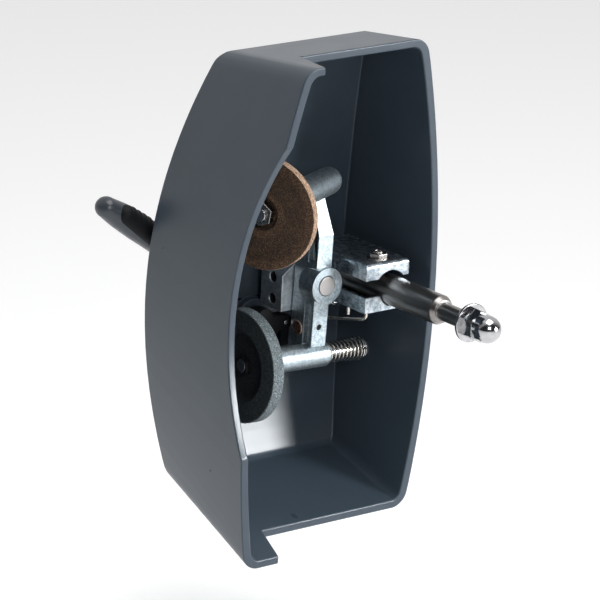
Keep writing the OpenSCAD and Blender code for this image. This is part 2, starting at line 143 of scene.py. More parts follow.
class NodeBench:
    """Wires the nodes of one material."""

    def __init__(self, name: str) -> None:
        """Makes an empty material.

        Args:
            name: The material's name.
        """
        self.material = bpy.data.materials.new(name)
        self.material.use_nodes = True
        self.tree = self.material.node_tree
        self.tree.nodes.clear()
        self.output = self.add("ShaderNodeOutputMaterial")
        self.shader = self.add("ShaderNodeBsdfPrincipled")
        self.join(self.shader, "BSDF", self.output, "Surface")
        self.place = self.add("ShaderNodeTexCoord")

    def add(self, kind: str, **values: object) -> bpy.types.Node:
        """Adds a node and sets its properties.

        Args:
            kind: The node's Blender type.
            **values: Properties of the node, or inputs by name with spaces as underscores.

        Returns:
            The new node.
        """
        node = self.tree.nodes.new(kind)
        for key, value in values.items():
            socket = node.inputs.get(key.replace("_", " "))
            if hasattr(node, key):
                setattr(node, key, value)
            elif socket is not None:
                socket.default_value = value
        return node

    def join(self, a: bpy.types.Node, out: str | int, b: bpy.types.Node, into: str | int) -> None:
        """Links one node's output to another's input."""
        self.tree.links.new(a.outputs[out], b.inputs[into])

    def mapped(self, scale: Point, turn: Point = (0.0, 0.0, 0.0)) -> bpy.types.Node:
        """Object coordinates, turned and then scaled.

        Args:
            scale: How many pattern units fit in a metre along each axis.
            turn: Euler angles that bring the pattern's axes onto the piece's, in radians.

        Returns:
            The last mapping node.
        """
        turned = self.add("ShaderNodeMapping", vector_type="POINT")
        turned.inputs["Rotation"].default_value = turn
        self.join(self.place, "Object", turned, "Vector")
        scaled = self.add("ShaderNodeMapping", vector_type="POINT")
        scaled.inputs["Scale"].default_value = scale
        self.join(turned, "Vector", scaled, "Vector")
        return scaled

    def noise(self, mapping: bpy.types.Node, detail: float = DETAIL,
              roughness: float = 0.55) -> bpy.types.Node:
        """A noise texture of unit scale.

        Args:
            mapping: The node that gives its coordinates.
            detail: How many finer layers it has.
            roughness: How strong each finer layer is.

        Returns:
            The texture node.
        """
        node = self.add("ShaderNodeTexNoise", Scale=1.0, Detail=detail, Roughness=roughness)
        self.join(mapping, "Vector", node, "Vector")
        return node

    def cells(self, mapping: bpy.types.Node) -> bpy.types.Node:
        """A cell texture of unit scale.

        Args:
            mapping: The node that gives its coordinates.

        Returns:
            The texture node.
        """
        node = self.add("ShaderNodeTexVoronoi", Scale=1.0, Randomness=1.0)
        self.join(mapping, "Vector", node, "Vector")
        return node

    def ramp(self, source: bpy.types.Node, out: str,
             stops: Sequence[tuple[float, Colour]]) -> bpy.types.Node:
        """A colour ramp on one output.

        Args:
            source: The node whose output drives the ramp.
            out: That output's name.
            stops: Each stop's place and colour.

        Returns:
            The ramp node.
        """
        node = self.add("ShaderNodeValToRGB")
        ramp = node.color_ramp
        while len(ramp.elements) < len(stops):
            ramp.elements.new(0.5)
        for element, (at, colour) in zip(ramp.elements, stops):
            element.position = at
            element.color = (*colour, 1.0)
        self.join(source, out, node, "Fac")
        return node

    def spread(self, source: bpy.types.Node, out: str, low: float, high: float) -> bpy.types.Node:
        """Maps an output from 0..1 to another range.

        Args:
            source: The node whose output is mapped.
            out: That output's name.
            low: What 0 becomes.
            high: What 1 becomes.

        Returns:
            The mapping node.
        """
        node = self.add("ShaderNodeMapRange")
        node.inputs["To Min"].default_value = low
        node.inputs["To Max"].default_value = high
        self.join(source, out, node, "Value")
        return node

    def blend(self, first: tuple[bpy.types.Node, str], second: tuple[bpy.types.Node, str],
              share: float) -> bpy.types.Node:
        """Mixes two outputs as numbers.

        Args:
            first: A node and its output's name.
            second: The other node and its output's name.
            share: How much of the second there is.

        Returns:
            The mixing node.
        """
        node = self.add("ShaderNodeMix", data_type="FLOAT", Factor=share)
        self.join(*first, node, FLOAT_A)
        self.join(*second, node, FLOAT_B)
        return node

    def bump(self, source: bpy.types.Node, out: str, height_mm: float, strength: float,
             under: bpy.types.Node | None = None) -> bpy.types.Node:
        """Raises the surface by an output.

        Args:
            source: The node whose output is the height.
            out: That output's name.
            height_mm: Height of the full range.
            strength: How strongly the bump shows.
            under: An earlier bump to add to.

        Returns:
            The bump node.
        """
        node = self.add("ShaderNodeBump")
        node.inputs["Strength"].default_value = strength
        node.inputs["Distance"].default_value = height_mm * MM
        self.join(source, out, node, "Height")
        if under is not None:
            self.join(under, "Normal", node, "Normal")
        return node

    def coat(self, pattern: bpy.types.Node, out: str, stops: Sequence[tuple[float, Colour]],
             roughness: tuple[float, float]) -> None:
        """Lets one pattern drive the base colour and the roughness.

        Args:
            pattern: The node that drives them.
            out: Its output's name.
            stops: Each colour stop's place and colour.
            roughness: The roughness where the output is 0 and where it is 1.
        """
        self.join(self.ramp(pattern, out, stops), "Color", self.shader, "Base Color")
        self.join(self.spread(pattern, out, *roughness), "Result", self.shader, "Roughness")

    def relief(self, raised: bpy.types.Node) -> None:
        """Leads a bump into the shader."""
        self.join(raised, "Normal", self.shader, "Normal")


@dataclass(frozen=True)
class Pattern:
    """How a kind of surface varies. Coarse patterns are measured in grains of the finish."""

    coarse: float
    low: float
    high: float
    rough_at_zero: float
    rough_at_one: float
    bump: float
    crystals: float = 1.0
    stretch: float = 1.0
    share: float = 0.5


PATTERNS = {
    Surface.MOULDED: Pattern(coarse=60.0, low=0.3, high=0.72, rough_at_zero=-0.05,
                             rough_at_one=0.05, bump=0.6),
    Surface.CAST: Pattern(coarse=9.0, low=0.36, high=0.62, rough_at_zero=0.12,
                          rough_at_one=-0.08, bump=0.5, crystals=2.6, share=0.45),
    Surface.ROLLED: Pattern(coarse=8.0, low=0.42, high=0.57, rough_at_zero=0.1,
                            rough_at_one=-0.1, bump=0.4, stretch=14.0, share=0.6),
    Surface.TURNED: Pattern(coarse=1.0, low=0.3, high=0.7, rough_at_zero=-0.06,
                            rough_at_one=0.08, bump=0.35, stretch=400.0),
    Surface.POLISHED: Pattern(coarse=4.0, low=0.3, high=0.65, rough_at_zero=-0.03,
                              rough_at_one=0.04, bump=0.1),
}


@dataclass(frozen=True)
class Grit:
    """How bonded abrasive varies. Clouds and pits are measured in grains of the finish."""

    pore_shade: float = 0.3
    # Painted glints: the brightest few grains get a lifted copy of the tone.
    glint_gain: float = 1.9
    glint_lift: float = 0.02
    pore_to: float = 0.08
    grain_from: float = 0.35
    grain_to: float = 0.72
    glint_from: float = 0.97
    cloud: float = 7.0
    cloud_low: float = 0.3
    cloud_high: float = 0.7
    cloud_shade: float = 0.62
    cloud_share: float = 0.75
    grain_bump: float = 0.9
    pit: float = 1.7
    pit_depth: float = 2.0
    pit_bump: float = 0.7


GRIT = Grit()


@dataclass(frozen=True)
class Finish:
    """One finish of the object: a colour, a surface and the slot it belongs to."""

    name: str
    slot: str
    surface: Surface
    colour: Colour
    tone: Colour
    roughness: float
    metallic: float = 0.0
    grain_mm: float = 0.5
    relief_mm: float = 0.01
    turn: Point = (0.0, 0.0, 0.0)
    gloss: float = 0.5

    def material(self) -> bpy.types.Material:
        """The finish's material, made once.

        Returns:
            The Blender material.
        """
        made = bpy.data.materials.get(self.name)
        if made is not None:
            return made
        bench = NodeBench(self.name)
        bench.shader.inputs["Metallic"].default_value = self.metallic
        bench.shader.inputs["Roughness"].default_value = self.roughness
        bench.shader.inputs["Specular IOR Level"].default_value = self.gloss
        painters = {
            Surface.MOULDED: self._moulded,
            Surface.CAST: self._cast,
            Surface.ROLLED: self._rolled,
            Surface.TURNED: self._turned,
            Surface.POLISHED: self._polished,
            Surface.BONDED: self._bonded,
        }
        painters[self.surface](bench)
        return bench.material

    def _fine(self, factor: float = 1.0) -> Point:
        """Pattern units per metre for grains of this finish."""
        return (1.0 / (self.grain_mm * MM * factor),) * 3

    def _tints(self) -> list[tuple[float, Colour]]:
        """The stops from the tone to the colour."""
        pattern = PATTERNS[self.surface]
        return [(pattern.low, self.tone), (pattern.high, self.colour)]

    def _rough(self) -> tuple[float, float]:
        """The roughness at both ends of the surface's pattern."""
        pattern = PATTERNS[self.surface]
        return self.roughness + pattern.rough_at_zero, self.roughness + pattern.rough_at_one

    def _raise(self, bench: NodeBench, source: bpy.types.Node) -> None:
        """Raises the surface by a noise texture."""
        strength = PATTERNS[self.surface].bump
        bench.relief(bench.bump(source, "Fac", self.relief_mm, strength))

    def _moulded(self, bench: NodeBench) -> None:
        """Spark-eroded plastic: a fine even grain and a faint cloud in gloss and colour.

        Args:
            bench: Where the material is wired.
        """
        pattern = PATTERNS[self.surface]
        cloud = bench.noise(bench.mapped(self._fine(pattern.coarse)), detail=SOFT_DETAIL)
        tints = [(pattern.low, self.colour), (pattern.high, self.tone)]
        bench.coat(cloud, "Fac", tints, self._rough())
        self._raise(bench, bench.noise(bench.mapped(self._fine()), detail=SOFT_DETAIL))

    def _cast(self, bench: NodeBench) -> None:
        """Die-cast zinc: crystals that differ a little in tone and gloss, and a soft skin.

        Args:
            bench: Where the material is wired.
        """
        pattern = PATTERNS[self.surface]
        crystals = bench.cells(bench.mapped(self._fine(pattern.crystals)))
        cloud = bench.noise(bench.mapped(self._fine(pattern.coarse)), detail=RICH_DETAIL)
        mix = bench.blend((cloud, "Fac"), (crystals, "Color"), pattern.share)
        bench.coat(mix, "Result", self._tints(), self._rough())
        self._raise(bench, bench.noise(bench.mapped(self._fine())))

    def _rolled(self, bench: NodeBench) -> None:
        """Plated sheet: rolling streaks along Y under a mottled plating.

        Args:
            bench: Where the material is wired.
        """
        pattern = PATTERNS[self.surface]
        fine = self._fine()[0]
        streaks = bench.noise(bench.mapped((fine, fine / pattern.stretch, fine)), SOFT_DETAIL)
        mottle = bench.noise(bench.mapped(self._fine(pattern.coarse)), RICH_DETAIL, roughness=0.65)
        mix = bench.blend((streaks, "Fac"), (mottle, "Fac"), pattern.share)
        bench.coat(mix, "Result", self._tints(), self._rough())
        self._raise(bench, streaks)

    def _turned(self, bench: NodeBench) -> None:
        """Turned steel: fine rings along the pattern's own Y axis.

        Args:
            bench: Where the material is wired.
        """
        fine = self._fine()[0]
        wide = fine / PATTERNS[self.surface].stretch
        rings = bench.noise(bench.mapped((wide, fine, wide), self.turn))
        bench.coat(rings, "Fac", self._tints(), self._rough())
        self._raise(bench, rings)

    def _polished(self, bench: NodeBench) -> None:
        """Polished metal: faint wipe marks in the gloss.

        Args:
            bench: Where the material is wired.
        """
        coarse = PATTERNS[self.surface].coarse
        haze = bench.noise(bench.mapped(self._fine(coarse)), detail=RICH_DETAIL)
        bench.coat(haze, "Fac", self._tints(), self._rough())
        self._raise(bench, haze)

    def _bonded(self, bench: NodeBench) -> None:
        """Bonded abrasive: packed grains, some dark pores and a few painted glints on bright
        grains.

        Args:
            bench: Where the material is wired.
        """
        grains = bench.cells(bench.mapped(self._fine()))
        cloud = bench.noise(bench.mapped(self._fine(GRIT.cloud)))
        pore = tuple(c * GRIT.pore_shade for c in self.colour)
        # Painted glints on the brightest few grains.
        glint = tuple(min(c * GRIT.glint_gain + GRIT.glint_lift, 1.0) for c in self.tone)
        speck = bench.ramp(grains, "Color", [
            (GRIT.pore_to, pore), (GRIT.grain_from, self.colour),
            (GRIT.grain_to, self.tone), (GRIT.glint_from, glint)])
        shade = bench.add("ShaderNodeMix", data_type="RGBA", blend_type="MULTIPLY",
                          Factor=GRIT.cloud_share)
        tint = bench.ramp(cloud, "Fac", [
            (GRIT.cloud_low, (GRIT.cloud_shade,) * 3), (GRIT.cloud_high, (1.0, 1.0, 1.0))])
        bench.join(speck, "Color", shade, COLOUR_A)
        bench.join(tint, "Color", shade, COLOUR_B)
        bench.join(shade, COLOUR_MIXED, bench.shader, "Base Color")
        coarse = bench.bump(grains, "Distance", self.relief_mm, GRIT.grain_bump)
        pits = bench.noise(bench.mapped(self._fine(GRIT.pit)))
        depth = self.relief_mm * GRIT.pit_depth
        bench.relief(bench.bump(pits, "Fac", depth, GRIT.pit_bump, under=coarse))


GRINDING_YAW_DEG = 24.7
AXIS_X = (0.0, 0.0, math.radians(90.0))
GRINDING_TURN = (0.0, 0.0, math.radians(90.0 - GRINDING_YAW_DEG))

COVER = Finish(
    "moulded_cover", "cover_plastic", Surface.MOULDED,
    colour=(0.034, 0.048, 0.064), tone=(0.039, 0.054, 0.071),
    roughness=0.30, grain_mm=0.35, relief_mm=0.008, gloss=0.38)
LEVER = Finish(
    "moulded_lever", "lever_plastic", Surface.MOULDED,
    colour=(0.036, 0.043, 0.053), tone=(0.046, 0.054, 0.065),
    roughness=0.30, grain_mm=0.3, relief_mm=0.006)
GRIP = Finish(
    "moulded_grip", "grip_plastic", Surface.MOULDED,
    colour=(0.0035, 0.0040, 0.0050), tone=(0.0060, 0.0065, 0.0080),
    roughness=0.55, grain_mm=0.3, relief_mm=0.01, gloss=0.16)
BLOCK = Finish(
    "block_aluminium", "block_metal", Surface.ROLLED,
    colour=(0.80, 0.83, 0.86), tone=(0.55, 0.60, 0.64),
    roughness=0.45, metallic=1.0, grain_mm=0.35, relief_mm=0.006)
ZINC = Finish(
    "zinc_casting", "zinc", Surface.CAST,
    colour=(0.43, 0.49, 0.52), tone=(0.27, 0.325, 0.355),
    roughness=0.42, metallic=1.0, grain_mm=0.3, relief_mm=0.014)
SHEET = Finish(
    "rolled_sheet", "plated_sheet", Surface.ROLLED,
    colour=(0.66, 0.72, 0.77), tone=(0.20, 0.25, 0.29),
    roughness=0.33, metallic=1.0, grain_mm=0.3, relief_mm=0.010)
TURNED = Finish(
    "ground_steel", "turned_steel", Surface.TURNED,
    colour=(0.33, 0.315, 0.305), tone=(0.22, 0.21, 0.20),
    roughness=0.30, metallic=1.0, grain_mm=0.12, relief_mm=0.004)
PIN = Finish(
    "pin_steel", "turned_steel", Surface.TURNED,
    colour=(0.48, 0.46, 0.45), tone=(0.33, 0.315, 0.305),
    roughness=0.32, metallic=1.0, grain_mm=0.12, relief_mm=0.004)
HONE_STEEL = Finish(
    "honing_steel", "turned_steel", Surface.TURNED,
    colour=(0.60, 0.59, 0.58), tone=(0.48, 0.47, 0.46),
    roughness=0.22, metallic=1.0, grain_mm=0.12, relief_mm=0.004, turn=AXIS_X)
GRIND_STEEL = Finish(
    "grinding_steel", "turned_steel", Surface.TURNED,
    colour=(0.60, 0.59, 0.58), tone=(0.48, 0.47, 0.46),
    roughness=0.24, metallic=1.0, grain_mm=0.12, relief_mm=0.004, turn=GRINDING_TURN)
BRIGHT = Finish(
    "polished_steel", "bright_steel", Surface.POLISHED,
    colour=(0.80, 0.80, 0.80), tone=(0.70, 0.70, 0.70),
    roughness=0.09, metallic=1.0, grain_mm=0.6, relief_mm=0.002)
DOME = Finish(
    "nut_steel", "bright_steel", Surface.POLISHED,
    colour=(0.52, 0.52, 0.53), tone=(0.42, 0.42, 0.43),
    roughness=0.13, metallic=1.0, grain_mm=0.6, relief_mm=0.002)
STAINLESS = Finish(
    "stainless_steel", "bright_steel", Surface.POLISHED,
    colour=(0.42, 0.405, 0.39), tone=(0.27, 0.26, 0.25),
    roughness=0.26, metallic=1.0, grain_mm=0.3, relief_mm=0.003)
SPRING = Finish(
    "spring_steel", "bright_steel", Surface.POLISHED,
    colour=(0.70, 0.67, 0.63), tone=(0.46, 0.43, 0.40),
    roughness=0.18, metallic=1.0, grain_mm=0.3, relief_mm=0.002)
BLACKED = Finish(
    "blacked_steel", "dark_steel", Surface.POLISHED,
    colour=(0.020, 0.021, 0.023), tone=(0.012, 0.013, 0.014),
    roughness=0.38, metallic=0.5, grain_mm=0.3, relief_mm=0.004)
COPPER = Finish(
    "copper_rivet", "copper", Surface.CAST,
    colour=(0.66, 0.46, 0.38), tone=(0.34, 0.21, 0.16),
    roughness=0.36, metallic=1.0, grain_mm=0.22, relief_mm=0.02)
BRONZE = Finish(
    "bronze_bush", "bronze", Surface.CAST,
    colour=(0.60, 0.44, 0.22), tone=(0.42, 0.29, 0.13),
    roughness=0.38, metallic=1.0, grain_mm=0.2, relief_mm=0.006)
NICKEL = Finish(
    "drawn_wire", "nickel_wire", Surface.POLISHED,
    colour=(0.78, 0.73, 0.65), tone=(0.60, 0.54, 0.46),
    roughness=0.22, metallic=1.0, grain_mm=0.3, relief_mm=0.002)
BROWN_FACE = Finish(
    "brown_stone_face", "brown_stone", Surface.BONDED,
    colour=(0.040, 0.021, 0.010), tone=(0.120, 0.064, 0.032),
    roughness=0.85, metallic=0.0, grain_mm=0.34, relief_mm=0.08)
# A darker copy of the brown stone for its hollows: painted shade.
BROWN_SHADED_HOLLOW = Finish(
    "brown_stone_shaded_hollow", "brown_stone", Surface.BONDED,
    colour=(0.026, 0.014, 0.007), tone=(0.082, 0.044, 0.022),
    roughness=0.85, metallic=0.0, grain_mm=0.34, relief_mm=0.08)
BROWN_RIM = Finish(
    "brown_stone_rim", "brown_stone", Surface.BONDED,
    colour=(0.20, 0.118, 0.070), tone=(0.40, 0.265, 0.180),
    roughness=0.85, metallic=0.0, grain_mm=0.34, relief_mm=0.06)
GREY_FACE = Finish(
    "grey_stone_face", "grey_stone", Surface.BONDED,
    colour=(0.020, 0.027, 0.028), tone=(0.036, 0.047, 0.049),
    roughness=0.82, metallic=0.0, grain_mm=0.32, relief_mm=0.04)
# A darker copy of the grey stone for its well and bore: painted shade.
GREY_SHADED_HOLLOW = Finish(
    "grey_stone_shaded_hollow", "grey_stone", Surface.BONDED,
    colour=(0.013, 0.014, 0.017), tone=(0.021, 0.022, 0.026),
    roughness=0.80, metallic=0.0, grain_mm=0.32, relief_mm=0.03)
GREY_RIM = Finish(
    "grey_stone_rim", "grey_stone", Surface.BONDED,
    colour=(0.080, 0.100, 0.108), tone=(0.165, 0.200, 0.212),
    roughness=0.82, metallic=0.0, grain_mm=0.34, relief_mm=0.05)


# ------------------------------------------------------------------ bench


class Bench:
    """Makes pieces out of bmeshes and hangs them on the frame's bodies."""

    def __init__(self, frame: dict) -> None:
        """Keeps the frame and each node's body.
        """
        self.frame = frame
        groups = frame["record"]["behaviour"]["bodies"]
        self.body_of = {node: body for body, nodes in groups.items() for node in nodes}

    def piece(self, name: str, shape: bmesh.types.BMesh, finishes: Sequence[Finish], body: str,
              replaces: Iterable[str] = (), even: bool = True) -> bpy.types.Object:
        """Turns a bmesh in millimetres into a finished piece.

        Args:
            name: The piece's name.
            shape: Its mesh, in millimetres, in the row frame. It is used up.
            finishes: The finish of each material index.
            body: The body it rides on.
            replaces: The CAD nodes it stands for.
            even: Whether large faces keep flat shading next to rounded edges.

        Returns:
            The new object.
        """
        bmesh.ops.scale(shape, vec=(MM, MM, MM), verts=shape.verts)
        mesh = bpy.data.meshes.new(name)
        shape.to_mesh(mesh)
        shape.free()
        for finish in finishes:
            mesh.materials.append(finish.material())
        mesh.shade_smooth()
        mesh.set_sharp_from_angle(angle=math.radians(SHARP_DEG))
        made = bpy.data.objects.new(name, mesh)
        bpy.context.scene.collection.objects.link(made)
        if even:
            weigh = made.modifiers.new("flats", "WEIGHTED_NORMAL")
            weigh.keep_sharp = True
        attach(made, body)
        for node in replaces:
            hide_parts(node)
        log.info("%s on %s: %d faces", name, body, len(mesh.polygons))
        return made

    def copy_of(self, node: str) -> bmesh.types.BMesh:
        """A CAD node's solid with its triangles merged into whole faces, in millimetres.

        Args:
            node: The CAD node's name.

        Returns:
            A new bmesh.
        """
        shape = bmesh.new()
        shape.from_mesh(self.frame["nodes"][node].data)
        bmesh.ops.scale(shape, vec=(1 / MM,) * 3, verts=shape.verts)
        bmesh.ops.remove_doubles(shape, verts=shape.verts, dist=MERGE_MM)
        bmesh.ops.dissolve_limit(shape, angle_limit=math.radians(FLAT_DEG),
                                 use_dissolve_boundaries=False,
                                 verts=shape.verts, edges=shape.edges)
        return shape

    def rounded(self, part: Part) -> bpy.types.Object:
        """Replaces a CAD node by a copy with its sharp edges broken.

        Args:
            part: The node, its finish and its rounding.

        Returns:
            The new object.
        """
        shape = self.copy_of(part.node)
        if part.radius > 0.0:
            round_edges(shape, part.radius, part.segments, part.angle_deg, part.shortest)
        body = self.body_of[part.node]
        return self.piece(f"{part.node}_piece", shape, [part.finish], body, [part.node])

    def rounded_all(self, parts: Iterable[Part]) -> None:
        """Replaces several CAD nodes, in order."""
        for part in parts:
            self.rounded(part)


@dataclass(frozen=True)
class Part:
    """A CAD node that a piece replaces, its finish and the rounding of its edges.

    Edges sharper than angle_deg and no shorter than shortest are rounded.
    """

    node: str
    finish: Finish
    radius: float
    segments: int = 2
    angle_deg: float = ROUND_DEG
    shortest: float = 0.0


def round_edges(shape: bmesh.types.BMesh, radius: float, segments: int, angle_deg: float,
                shortest: float) -> None:
    """Bevels every edge sharper than an angle.

    Args:
        shape: The mesh to work on.
        radius: How far the rounding reaches back from an edge.
        segments: Faces across the rounding.
        angle_deg: Edges sharper than this are rounded.
        shortest: Edges shorter than this stay as they are.
    """
    limit = math.radians(angle_deg)
    edges = [e for e in shape.edges if len(e.link_faces) == 2
             and e.calc_face_angle(0.0) > limit and e.calc_length() >= shortest]
    bmesh.ops.bevel(shape, geom=edges, offset=radius, offset_type="OFFSET", segments=segments,
                    profile=0.5, affect="EDGES", clamp_overlap=False, material=-1)


@dataclass(frozen=True)
class Axle:
    """A line in the row frame that turned pieces are made on."""

    origin: Vector
    along: Vector

    def place(self) -> Matrix:
        """The matrix that brings local +X onto the axle."""
        turn = Vector((1.0, 0.0, 0.0)).rotation_difference(self.along).to_matrix().to_4x4()
        return Matrix.Translation(self.origin) @ turn

    def lathe(self, outline: Sequence[tuple[float, float, Zone]]) -> bmesh.types.BMesh:
        """Spins an outline round the axle.

        Args:
            outline: Points as (distance along the axle, radius, zone), in order. The zone
                is that of the stretch to the next point, and the last point joins the first.

        Returns:
            A closed mesh with its faces pointing outwards.
        """
        shape = bmesh.new()
        points = [shape.verts.new((x, r, 0.0)) for x, r, _ in outline]
        for a, b in zip(points, points[1:] + points[:1]):
            shape.edges.new((a, b))
        bmesh.ops.spin(shape, geom=shape.verts[:] + shape.edges[:], cent=(0, 0, 0), axis=(1, 0, 0),
                       dvec=(0, 0, 0), angle=math.tau, steps=LATHE_STEPS, use_merge=True,
                       use_duplicate=False)
        bmesh.ops.remove_doubles(shape, verts=shape.verts, dist=LATHE_MERGE_MM)
        bmesh.ops.recalc_face_normals(shape, faces=shape.faces)
        stretches = [((a[0] + b[0]) / 2, (a[1] + b[1]) / 2, a[2])
                     for a, b in zip(outline, [*outline[1:], outline[0]])]
        for face in shape.faces:
            at = face.calc_center_median()
            radius = math.hypot(at.y, at.z)
            nearest = min(stretches, key=lambda s: (s[0] - at.x) ** 2 + (s[1] - radius) ** 2)
            face.material_index = int(nearest[2])
        bmesh.ops.transform(shape, matrix=self.place(), verts=shape.verts)
        return shape


def joint_axle(frame: dict, name: str) -> Axle:
    """The axle of a hinge in the frame, in millimetres.

    Args:
        name: The joint's name.

    Returns:
        The axle.
    """
    joint = next(j for j in frame["joints"] if j["name"] == name)
    return Axle(Vector(joint["pos_m"]) / MM, Vector(joint["axis"]).normalized())


# ------------------------------------------------------------------ sub-assemblies


@dataclass
class Cover:
    """The moulded cover, its screws and the bush of the lever's shaft."""

    bench: Bench
    parts: tuple[Part, ...] = (
        Part("cover", COVER, 0.7, 3),
        Part("cover_screws", BLACKED, 0.3),
        Part("shaft_bush", BLACKED, 0.25),
    )

    def build(self) -> None:
        """Makes the cover's pieces."""
        self.bench.rounded_all(self.parts)


@dataclass
class Clamp:
    """The block on the back wall and the two plates that hold the post."""

    bench: Bench
    parts: tuple[Part, ...] = (
        Part("mounting_block", BLOCK, 0.35),
        Part("block_set_screws", BLACKED, 0.2),
        Part("upper_clamp_plate", SHEET, 0.3),
        Part("lower_clamp_plate", SHEET, 0.3),
        Part("lower_plate_screws", BRIGHT, 0.2),
        Part("clamp_screw", STAINLESS, 0.25),
        Part("clamp_nut", STAINLESS, 0.25),
        Part("clamp_washer", STAINLESS, 0.2),
        Part("clamp_dowel", SPRING, 0.2),
        Part("pivot_pin", PIN, 0.3),
        Part("wire_spring", NICKEL, 0.1, 1),
    )

    def build(self) -> None:
        """Makes the clamp's pieces."""
        self.bench.rounded_all(self.parts)


@dataclass
class Post:
    """The turned mounting post with its washer and acorn nut."""

    bench: Bench
    parts: tuple[Part, ...] = (
        Part("mounting_post", TURNED, 0.35),
        Part("post_washer", DOME, 0.35),
        Part("acorn_nut", DOME, 0.0),
    )

    def build(self) -> None:
        """Makes the post's pieces."""
        self.bench.rounded_all(self.parts)


@dataclass
class Rocker:
    """The die-cast rocker arm with its bushes, screw and rivet."""

    bench: Bench
    parts: tuple[Part, ...] = (
        Part("rocker_arm", ZINC, 0.3, 2, 30.0, 0.9),
        Part("rocker_set_screw", BLACKED, 0.15),
        Part("rocker_rivet", COPPER, 0.35),
        Part("grinding_bushes", BRONZE, 0.2),
        Part("honing_bushes", BRONZE, 0.2),
    )

    def build(self) -> None:
        """Makes the rocker's pieces."""
        self.bench.rounded_all(self.parts)


@dataclass
class GrindingWheel:
    """The brown grinding stone on its spindle. Places are along the spindle's axle."""

    bench: Bench
    axle: Axle
    face: float = -58.7
    thickness: float = 4.5
    radius: float = 26.0
    bore: float = 3.05
    nut_well: float = 7.5
    well_depth: float = 2.4
    well_corner: float = 0.3
    well_lip: float = 0.5
    lip_depth: float = 0.4
    dish: float = 0.55
    dish_gap: float = 3.5
    dish_rise: float = 3.0
    dish_fall: float = 1.5
    land: float = 4.2
    land_drop: float = 0.05
    corner: float = 0.7
    corner_mid: tuple[float, float] = (0.25, 0.2)
    back_corner: float = 0.5
    parts: tuple[Part, ...] = (
        Part("grinding_spindle", GRIND_STEEL, 0.3),
        Part("grinding_flange", GRIND_STEEL, 0.3),
        Part("grinding_nut", STAINLESS, 0.3),
    )

    def build(self) -> None:
        """Makes the grinding wheel's pieces."""
        self.bench.rounded_all(self.parts)
        self._stone()

    def _stone(self) -> None:
        """A flat stone: nut well, shallow worn dish, paler rim and painted shade in the hollows.
        """
        front, back, edge = self.face, self.face + self.thickness, self.radius
        inner, outer = self.nut_well + self.dish_gap, edge - self.land
        floor, worn = front + self.well_depth, front + self.dish
        mid_in, mid_down = self.corner_mid
        outline = [
            (floor, self.bore, Zone.SHADED_HOLLOW),
            (floor, self.nut_well - self.well_corner, Zone.SHADED_HOLLOW),
            (front + self.lip_depth, self.nut_well, Zone.SHADED_HOLLOW),
            (front, self.nut_well + self.well_lip, Zone.FACE),
            (front, inner, Zone.SHADED_HOLLOW),
            (worn, inner + self.dish_rise, Zone.SHADED_HOLLOW),
            (worn, outer - self.dish_fall, Zone.SHADED_HOLLOW),
            (front + self.land_drop, outer, Zone.FACE),
            (front, edge - self.corner, Zone.FACE),
            (front + mid_in, edge - mid_down, Zone.RIM),
            (front + self.corner, edge, Zone.RIM),
            (back - self.back_corner, edge, Zone.RIM),
            (back, edge - self.back_corner, Zone.FACE),
            (back, self.bore, Zone.SHADED_HOLLOW)]
        self.bench.piece("grinding_stone_piece", self.axle.lathe(outline),
                         [BROWN_FACE, BROWN_SHADED_HOLLOW, BROWN_RIM], "grinding_wheel", ["grinding_stone"])


@dataclass
class HoningWheel:
    """The grey honing stone on its sprung spindle. Places are along the spindle's axle.

    The spring's push is the honing stroke and a little clearance; it is not used.
    """

    bench: Bench
    axle: Axle
    face: float = -40.4
    thickness: float = 6.2
    radius: float = 26.3
    bore: float = 3.05
    well_top: float = 16.6
    well_foot: float = 14.5
    well_depth: float = 3.6
    foot_corner: tuple[float, float] = (0.5, 0.8)
    top_slope: float = 0.3
    top_lip: float = 0.4
    corner: float = 0.6
    corner_mid: tuple[float, float] = (0.18, 0.15)
    spring_foot: float = 9.75
    spring_long: float = 18.5
    push: float = 4.05
    parts: tuple[Part, ...] = (
        Part("honing_spindle", HONE_STEEL, 0.3),
        Part("honing_flange", HONE_STEEL, 0.3),
        Part("honing_nut", BLACKED, 0.3),
    )
    spring: Part = Part("return_spring", SPRING, 0.1, 1)
    ends: tuple[Part, ...] = (
        Part("spring_seat", BRIGHT, 0.2),
        Part("spring_clip", BRIGHT, 0.2),
    )

    def build(self) -> None:
        """Makes the honing wheel's pieces."""
        self.bench.rounded_all(self.parts)
        self._stone()
        spring = self.bench.rounded(self.spring)
        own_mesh(spring)
        self.bench.rounded_all(self.ends)

    def _stone(self) -> None:
        """A cup-shaped stone: a flat honing ring round a deep well, with painted shade in the
        well.
        """
        front, back, edge = self.face, self.face + self.thickness, self.radius
        floor = front + self.well_depth
        foot_in, foot_down = self.foot_corner
        mid_in, mid_down = self.corner_mid
        outline = [
            (floor, self.bore, Zone.SHADED_HOLLOW),
            (floor, self.well_foot - foot_down, Zone.SHADED_HOLLOW),
            (floor - foot_in, self.well_foot, Zone.SHADED_HOLLOW),
            (front + self.corner, self.well_top - self.top_slope, Zone.SHADED_HOLLOW),
            (front, self.well_top + self.top_lip, Zone.FACE),
            (front, edge - self.corner, Zone.RIM),
            (front + mid_in, edge - mid_down, Zone.RIM),
            (front + self.corner, edge, Zone.RIM),
            (back - self.corner, edge, Zone.RIM),
            (back, edge - self.corner, Zone.FACE),
            (back, self.bore, Zone.SHADED_HOLLOW)]
        self.bench.piece("honing_stone_piece", self.axle.lathe(outline),
                         [GREY_FACE, GREY_SHADED_HOLLOW, GREY_RIM], "honing_wheel", ["honing_stone"])


@dataclass(frozen=True)
class Station:
    """One section of the lever: its centre and its half height and half depth."""

    x: float
    y: float
    z: float
    high: float
    deep: float

    def towards(self, other: Station, t: float) -> Station:
        """The section between this one and another."""
        return Station(*(a + (b - a) * t for a, b in (
            (self.x, other.x), (self.y, other.y), (self.z, other.z),
            (self.high, other.high), (self.deep, other.deep))))


